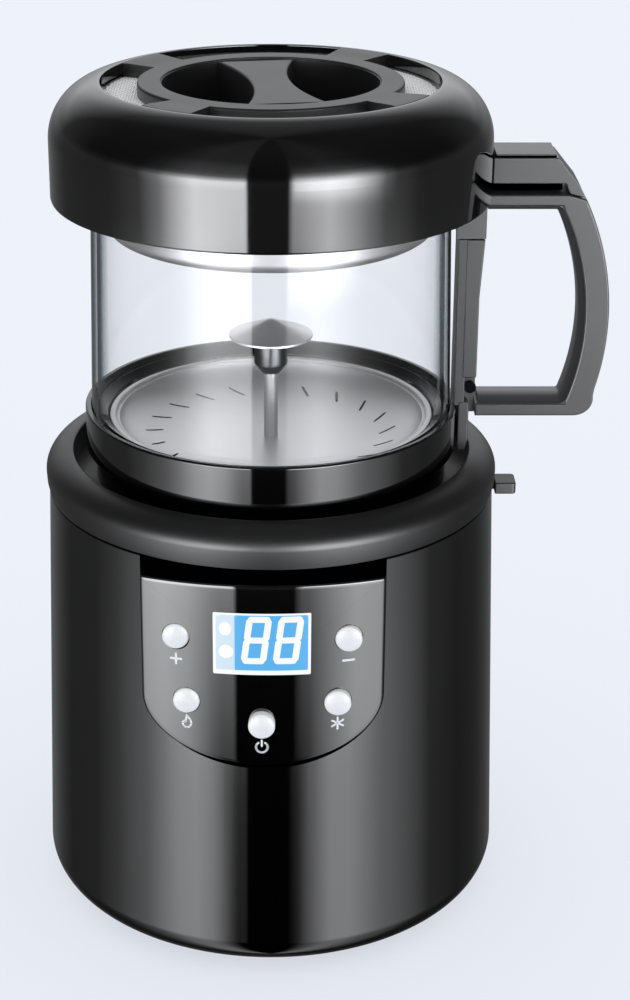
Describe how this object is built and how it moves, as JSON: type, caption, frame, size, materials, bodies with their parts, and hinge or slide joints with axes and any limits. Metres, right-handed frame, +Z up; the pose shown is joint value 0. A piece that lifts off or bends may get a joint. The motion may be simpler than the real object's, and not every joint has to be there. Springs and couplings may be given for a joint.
{
  "type": "home coffee bean roaster",
  "caption": "Countertop hot air coffee bean roaster: round base with display and keys, lift-off glass roasting chamber with handle, and vented lid with chaff bowl.",
  "frame": {"origin": "on the axis of the round body, in the plane that the foot stands on", "axes": "+Z up, control panel faces -Y, handle points along +X"},
  "size_m": [0.2128, 0.1799, 0.3185],
  "materials": {
    "foot_rubber": "moulded",
    "satin_black_plastic": "satin, moulded",
    "gloss_black_plastic": "high gloss, moulded",
    "gloss_grey_black_plastic": "gloss, moulded",
    "grey_plastic": "moulded",
    "white_plastic": "gloss, moulded",
    "zinc_steel": "zinc plated",
    "stainless_steel": "brushed",
    "polished_steel": "polished",
    "aluminised_steel": "rolled sheet",
    "mica_board": "flaky mica sheet",
    "resistance_wire": "oxidised",
    "clear_window": "clear, gloss",
    "clear_glass": "clear, drawn tube",
    "display_blue": "backlit",
    "circuit_board": "solder mask",
    "silicone": "translucent white"
  },
  "bodies": {
    "base": {"rubber_foot": "foot_rubber", "bottom_cover": "satin_black_plastic", "bottom_screws": "zinc_steel", "housing": "gloss_black_plastic", "cord_gland": "satin_black_plastic", "shoulder_ring": "satin_black_plastic", "outlet_grille": "stainless_steel", "air_duct": "aluminised_steel", "motor_mount": "satin_black_plastic", "blower_motor": "aluminised_steel", "heater_frame": "mica_board", "heater_coil": "resistance_wire", "control_panel": "gloss_black_plastic", "display_window": "clear_window", "display_module": "display_blue", "control_board": "circuit_board", "key_switches": "satin_black_plastic", "release_spring": "stainless_steel"},
    "blower": {"motor_shaft": "stainless_steel", "blower_wheel": "grey_plastic"},
    "key_time_up": {"button_time_up": "white_plastic"},
    "key_time_down": {"button_time_down": "white_plastic"},
    "key_roast": {"button_roast": "white_plastic"},
    "key_cool": {"button_cool": "white_plastic"},
    "key_power": {"button_power": "white_plastic"},
    "release": {"release_button": "satin_black_plastic"},
    "chamber": {"chamber_collar": "gloss_black_plastic", "roasting_pan": "stainless_steel", "glass_gasket": "silicone", "glass_cylinder": "clear_glass", "glass_rim": "satin_black_plastic", "centre_rod": "polished_steel", "rod_hub": "stainless_steel", "deflector_cap": "stainless_steel", "handle_stem": "gloss_grey_black_plastic", "handle_grip": "gloss_grey_black_plastic", "handle_screws": "zinc_steel"},
    "lid": {"lid_cover": "gloss_black_plastic", "lid_insert": "satin_black_plastic", "lid_tab": "gloss_grey_black_plastic", "lid_liner": "stainless_steel", "lid_mesh": "stainless_steel", "chaff_bowl": "stainless_steel", "lid_seal": "silicone", "lid_screws": "zinc_steel"}
  },
  "joints": [
    {"name": "blower_spin", "type": "hinge", "parent": "base", "child": "blower", "pos_m": [0, 0, 0.03], "axis": [0, 0, 1], "continuous": true},
    {"name": "time_up_press", "type": "slide", "parent": "base", "child": "key_time_up", "axis": [0.0384, 0.9993, 0], "range_m": [0, 0.0008], "stiffness_N_per_m": 600, "springref_m": -0.0004},
    {"name": "time_down_press", "type": "slide", "parent": "base", "child": "key_time_down", "axis": [0.0384, 0.9993, 0], "range_m": [0, 0.0008], "stiffness_N_per_m": 600, "springref_m": -0.0004},
    {"name": "roast_press", "type": "slide", "parent": "base", "child": "key_roast", "axis": [0.0384, 0.9993, 0], "range_m": [0, 0.0008], "stiffness_N_per_m": 600, "springref_m": -0.0004},
    {"name": "cool_press", "type": "slide", "parent": "base", "child": "key_cool", "axis": [0.0384, 0.9993, 0], "range_m": [0, 0.0008], "stiffness_N_per_m": 600, "springref_m": -0.0004},
    {"name": "power_press", "type": "slide", "parent": "base", "child": "key_power", "axis": [0.0384, 0.9993, 0], "range_m": [0, 0.0008], "stiffness_N_per_m": 600, "springref_m": -0.0004},
    {"name": "release_press", "type": "slide", "parent": "base", "child": "release", "axis": [-1, 0, 0], "range_m": [0, 0.003], "stiffness_N_per_m": 400, "springref_m": -0.001, "deforming": ["release_spring"]},
    {"name": "chamber_lift", "type": "slide", "parent": "base", "child": "chamber", "axis": [0, 0, 1], "range_m": [0, 0.05]},
    {"name": "lid_lift", "type": "slide", "parent": "chamber", "child": "lid", "axis": [0, 0, 1], "range_m": [0, 0.04]}
  ]
}
